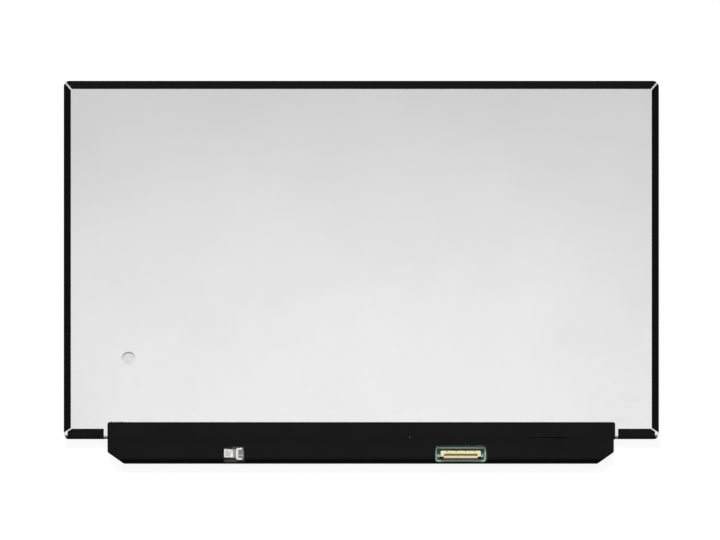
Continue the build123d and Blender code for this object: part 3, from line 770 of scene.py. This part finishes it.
def tail_fingers(mesh):
    """Tinned fingers of the tail, between its stiffener and the light connector."""
    left = stiffener_high.x
    right = light_low.x
    middle = (stiffener_low.y + stiffener_high.y) / 2
    z_tail = stiffener_low.z
    for i in range(FINGER_COUNT):
        y = middle + (i - (FINGER_COUNT - 1) / 2) * FINGER_PITCH
        outline = rectangle(left, right, y - FINGER_WIDTH / 2, y + FINGER_WIDTH / 2)
        prism(mesh, outline, z_tail, z_tail + PAD_THICKNESS, PAD_BEVEL)


piece("tail_fingers", tail_fingers, SLOT_MATERIALS["solder_tab"])

TAIL_EDGE_LEFT = 0.12  # of the tail below its stiffener
TAIL_EDGE_RIGHT = 0.42
TAIL_EDGE_THICKNESS = 0.05
tail_brown = moulded("tail_edge_film", (0.17, 0.135, 0.13), roughness=0.5)


def tail_edge(mesh):
    """The tail's film below its stiffener, a little askew."""
    high = stiffener_low.y
    outline = [
        (stiffener_low.x, high - TAIL_EDGE_LEFT),
        (light_low.x, high - TAIL_EDGE_RIGHT),
        (light_low.x, high),
        (stiffener_low.x, high),
    ]
    prism(mesh, outline, stiffener_low.z - TAIL_EDGE_THICKNESS, stiffener_low.z)


piece("tail_edge", tail_edge, tail_brown)

# Lower edge of the back plate, where no tape covers it

HEM_DROP = 0.5
HEM_DEPTH = 0.7
HEM_STEPS = 5
HEM_TOP = 0.1  # below the plate's face
bottom_left_low, bottom_left_high = box_mm("edge_tape_bottom_left")
bottom_right_low, bottom_right_high = box_mm("edge_tape_bottom_right")


def plate_hem(mesh):
    """The plate's rounded lower edge in the gaps beside the cover tape."""
    profile = []
    for i in range(HEM_STEPS + 1):
        angle = math.pi / 2 * i / HEM_STEPS
        y = plate_low.y - HEM_DEPTH * math.sin(angle)
        profile.append((y, plate_high.z - HEM_TOP - HEM_DROP * (1 - math.cos(angle))))
    profile.append((plate_low.y, profile[-1][1]))
    for ends in ((bottom_left_high.x, cover_low.x), (cover_high.x, bottom_right_low.x)):
        rows = loft(mesh, [[(x, y, z) for y, z in profile] for x in ends])
        mesh.faces.new(rows[0])
        mesh.faces.new(list(reversed(rows[1])))


piece("plate_hem", plate_hem, grey_metal)

HOOK_INSET = 0.5  # from the plate's side
HOOK_OVERLAP = 0.42  # onto the plate
HOOK_DROP = 0.7  # below the plate's edge
HOOK_RISE = 0.03  # above the plate
HOOK_CORNER = 0.35
RIDGE_INSET = 0.2  # from the hook's side
RIDGE_OVERLAP = 0.08
RIDGE_DROP = 0.26
RIDGE_RISE = 0.03
RIDGE_CORNER = 0.14
RIDGE_BEVEL = 0.01
LIP_THICKNESS = 0.38  # of the moulded frame's ledge
z_lip = box_mm("mould_frame")[0].z + LIP_THICKNESS
z_hook = plate_high.z + HOOK_RISE
corner_spans = (
    (plate_low.x + HOOK_INSET, bottom_left_low.x),
    (bottom_right_high.x, plate_high.x - HOOK_INSET),
)


def corner_hooks(mesh):
    """The moulded frame's hooks over the plate's edge at the lower corners."""
    for x_low, x_high in corner_spans:
        y_low = plate_low.y - HOOK_DROP
        outline = rounded(x_low, x_high, y_low, plate_low.y + HOOK_OVERLAP, HOOK_CORNER)
        prism(mesh, outline, z_lip, z_hook, HOOK_RISE)


def corner_painted_highlights(mesh):
    """A pale ridge along each hook, whose colour is a painted highlight on the hook's edge."""
    for x_low, x_high in corner_spans:
        y_low = plate_low.y - RIDGE_DROP
        y_high = plate_low.y + RIDGE_OVERLAP
        outline = rounded(x_low + RIDGE_INSET, x_high - RIDGE_INSET, y_low, y_high, RIDGE_CORNER)
        prism(mesh, outline, z_hook, z_hook + RIDGE_RISE, RIDGE_BEVEL)


piece("corner_hooks", corner_hooks, SLOT_MATERIALS["frame_plastic"])
piece("corner_painted_highlights", corner_painted_highlights, pale_band_and_painted_highlight)

# Small things on the cover tape

TAB_START = 1.3  # from the cover tape's left edge
TAB_LENGTH = 6.0
TAB_RISE = 0.2
TAB_OVERLAP = 0.25
TAB_CORNER = 0.15
TAB_THICKNESS = 0.05
TAB_BEVEL = TAB_THICKNESS / 3
TAB_BORDER = 0.7
TAB_FACE_RISE = 0.18
TAB_FACE_THICKNESS = 0.02
STEP_BELOW_PLATE = 0.55  # plate's edge to the speck and the wrinkle
SINK = 0.08  # of the speck's and the wrinkle's foot below the cover tape's top
RISE = 0.078  # of both above their foot
SPECK_X = 23.0
SPECK_RADIUS = 0.35
SPECK_STEPS = 12
SPECK_LOBES = 3
SPECK_LOBE_SHARE = 0.25
WRINKLE_START = 77.0  # x of its left end
WRINKLE_LENGTH = 24.0
WRINKLE_WIDTH = 1.1
# Shares of its length, and of its width there
WRINKLE_SPINDLE = ((0.0, 0.3), (0.1, 0.55), (0.5, 0.6), (0.65, 1.0), (0.9, 0.9), (1.0, 0.3))

# painted highlight for the glint on the lifted film's edge
tab_painted_highlight = moulded("lifted_film_painted_highlight", (0.50, 0.50, 0.50), roughness=0.4)
# painted shade: a darker copy of the tape film for the crease
crease_painted_shade_film = film_tape("crease_painted_shade_film", (0.0020, 0.0020, 0.0020), gloss=0.02)
speck_grey = moulded("lint_grey", (0.13, 0.13, 0.125), roughness=0.6)


def cover_tab(mesh):
    """The film's lifted upper edge near the cover tape's left end."""
    left = cover_low.x + TAB_START
    y_low = cover_high.y - TAB_OVERLAP
    outline = rounded(left, left + TAB_LENGTH, y_low, cover_high.y + TAB_RISE, TAB_CORNER)
    prism(mesh, outline, plate_high.z, plate_high.z + TAB_THICKNESS, TAB_BEVEL)


def cover_tab_highlight(mesh):
    """A pale strip on the lifted edge: a painted highlight on the film."""
    left = cover_low.x + TAB_START + TAB_BORDER
    right = left + TAB_LENGTH - 2 * TAB_BORDER
    outline = rectangle(left, right, cover_high.y, cover_high.y + TAB_FACE_RISE)
    z_low = plate_high.z + TAB_THICKNESS
    prism(mesh, outline, z_low, z_low + TAB_FACE_THICKNESS)


piece("cover_tab", cover_tab, SLOT_MATERIALS["cover_tape"])
piece("cover_tab_highlight", cover_tab_highlight, tab_painted_highlight)

y_step = plate_low.y - STEP_BELOW_PLATE
z_step = cover_high.z - SINK


def cover_speck(mesh):
    """A speck of lint on the step of the cover tape."""
    outline = []
    for i in range(SPECK_STEPS):
        angle = 2 * math.pi * i / SPECK_STEPS
        radius = SPECK_RADIUS * (1 + SPECK_LOBE_SHARE * math.sin(SPECK_LOBES * angle))
        outline.append((SPECK_X + radius * math.cos(angle), y_step + radius * math.sin(angle)))
    mound(mesh, outline, z_step, RISE)


def cover_wrinkle(mesh):
    """A low crease along the step of the cover tape, in a darker, less glossy copy of the film as painted
    shade.
    """
    half = WRINKLE_WIDTH / 2
    lower = []
    upper = []
    for along, share in WRINKLE_SPINDLE:
        x = WRINKLE_START + WRINKLE_LENGTH * along
        lower.append((x, y_step - half * share))
        upper.append((x, y_step + half * share))
    mound(mesh, lower + upper[::-1], z_step, RISE)


piece("cover_speck", cover_speck, speck_grey, smooth=True)
piece("cover_wrinkle", cover_wrinkle, crease_painted_shade_film, smooth=True)


# Floor, world, lamps and camera

FLOOR_SIZE_M = 12.0
FLOOR_DROP = 0.02  # below the object
FLOOR_COLOR = (0.18, 0.18, 0.18)
FLOOR_GLOW = 0.88  # what the floor adds of its own for the eye and for mirrors
BACKDROP_LEVEL = 1.0  # the world near the horizon
ROOM_LEVEL = 0.62  # the world higher up
ROOM_START = 0.3  # sine of the height at which the backdrop ends
ROOM_END = 0.5
FILL_LEVEL = 0.30  # what the world sheds on the object
SOFTBOX_PLACE_M = (0.01, -0.39, 1.6)
SOFTBOX_AIM_M = (0.01, -0.39, 0.0)
SOFTBOX_SIZE_M = (1.3, 1.1)
SOFTBOX_POWER_W = 2.95
KEY_PLACE_M = (-0.2, 1.6, 0.65)
KEY_AIM_M = (0.0, 0.0, 0.0)
KEY_SIZE_M = (0.5, 0.3)
KEY_POWER_W = 55.0


def seen_directly(tree):
    """1 for camera, glossy and transmission rays."""
    path = add(tree, "ShaderNodeLightPath")
    total = add(tree, "ShaderNodeMath", operation="ADD")
    tree.links.new(path.outputs["Is Camera Ray"], total.inputs[0])
    tree.links.new(path.outputs["Is Glossy Ray"], total.inputs[1])
    everything = add(tree, "ShaderNodeMath", operation="ADD", use_clamp=True)
    tree.links.new(total.outputs["Value"], everything.inputs[0])
    tree.links.new(path.outputs["Is Transmission Ray"], everything.inputs[1])
    return everything.outputs["Value"]


def make_floor():
    half = FLOOR_SIZE_M / 2
    corners = [(-half, -half, 0.0), (half, -half, 0.0), (half, half, 0.0), (-half, half, 0.0)]
    mesh = bpy.data.meshes.new("floor")
    mesh.from_pydata(corners, [], [(0, 1, 2, 3)])
    floor = bpy.data.objects.new("floor", mesh)
    bpy.context.scene.collection.objects.link(floor)
    material, tree, surface = new_material("pale_floor", FLOOR_COLOR, roughness=0.9, Specular_IOR_Level=0.0)
    surface.inputs["Emission Color"].default_value = (1.0, 1.0, 1.0, 1.0)
    glow = add(tree, "ShaderNodeMath", {1: FLOOR_GLOW}, operation="MULTIPLY")
    tree.links.new(seen_directly(tree), glow.inputs[0])
    tree.links.new(glow.outputs["Value"], surface.inputs["Emission Strength"])
    mesh.materials.append(material)
    floor.location.z = cad_low.z - FLOOR_DROP * MM


def make_world():
    world = bpy.data.worlds.new("studio")
    bpy.context.scene.world = world
    world.use_nodes = True
    tree = world.node_tree
    sky = tree.nodes["Background"]
    sky.inputs["Color"].default_value = (1.0, 1.0, 1.0, 1.0)
    coordinates = add(tree, "ShaderNodeTexCoord")
    axes = add(tree, "ShaderNodeSeparateXYZ")
    tree.links.new(coordinates.outputs["Generated"], axes.inputs["Vector"])
    room = add(
        tree,
        "ShaderNodeMapRange",
        {"From Min": ROOM_START, "From Max": ROOM_END, "To Min": BACKDROP_LEVEL, "To Max": ROOM_LEVEL},
        interpolation_type="SMOOTHSTEP",
    )
    tree.links.new(axes.outputs["Z"], room.inputs["Value"])
    strength = add(tree, "ShaderNodeMix", {"A": FILL_LEVEL})
    tree.links.new(seen_directly(tree), strength.inputs["Factor"])
    tree.links.new(room.outputs["Result"], strength.inputs["B"])
    tree.links.new(strength.outputs["Result"], sky.inputs["Strength"])


def make_lamp(name, place_m, aim_m, size_m, power_w):
    data = bpy.data.lights.new(name, "AREA")
    data.shape = "RECTANGLE"
    data.size, data.size_y = size_m
    data.energy = power_w
    lamp = bpy.data.objects.new(name, data)
    lamp.location = place_m
    lamp.rotation_euler = (Vector(place_m) - Vector(aim_m)).to_track_quat("Z", "Y").to_euler()
    bpy.context.scene.collection.objects.link(lamp)
    return lamp


def make_camera():
    metres_per_px = (cad_high.x - cad_low.x) / (OUTLINE_RIGHT_PX - OUTLINE_LEFT_PX)
    aim_x = (IMAGE_WIDTH_PX / 2 - (OUTLINE_LEFT_PX + OUTLINE_RIGHT_PX) / 2) * metres_per_px
    aim_y = ((OUTLINE_TOP_PX + OUTLINE_BOTTOM_PX) / 2 - IMAGE_HEIGHT_PX / 2) * metres_per_px
    distance = IMAGE_WIDTH_PX * metres_per_px * LENS_MM / SENSOR_MM * EDGE_BLUR_SCALE
    data = bpy.data.cameras.new("camera")
    data.sensor_width = SENSOR_MM
    data.lens = LENS_MM
    data.clip_start = CLIP_START_M
    camera = bpy.data.objects.new("camera", data)
    camera.location = (aim_x, aim_y, cad_high.z + distance)
    bpy.context.scene.collection.objects.link(camera)
    bpy.context.scene.camera = camera


make_floor()
make_world()
make_lamp("softbox", SOFTBOX_PLACE_M, SOFTBOX_AIM_M, SOFTBOX_SIZE_M, SOFTBOX_POWER_W)
key = make_lamp("key", KEY_PLACE_M, KEY_AIM_M, KEY_SIZE_M, KEY_POWER_W)
key.visible_glossy = False  # no white patch on the plate from low down
make_camera()
bpy.context.scene.view_settings.view_transform = "Standard"
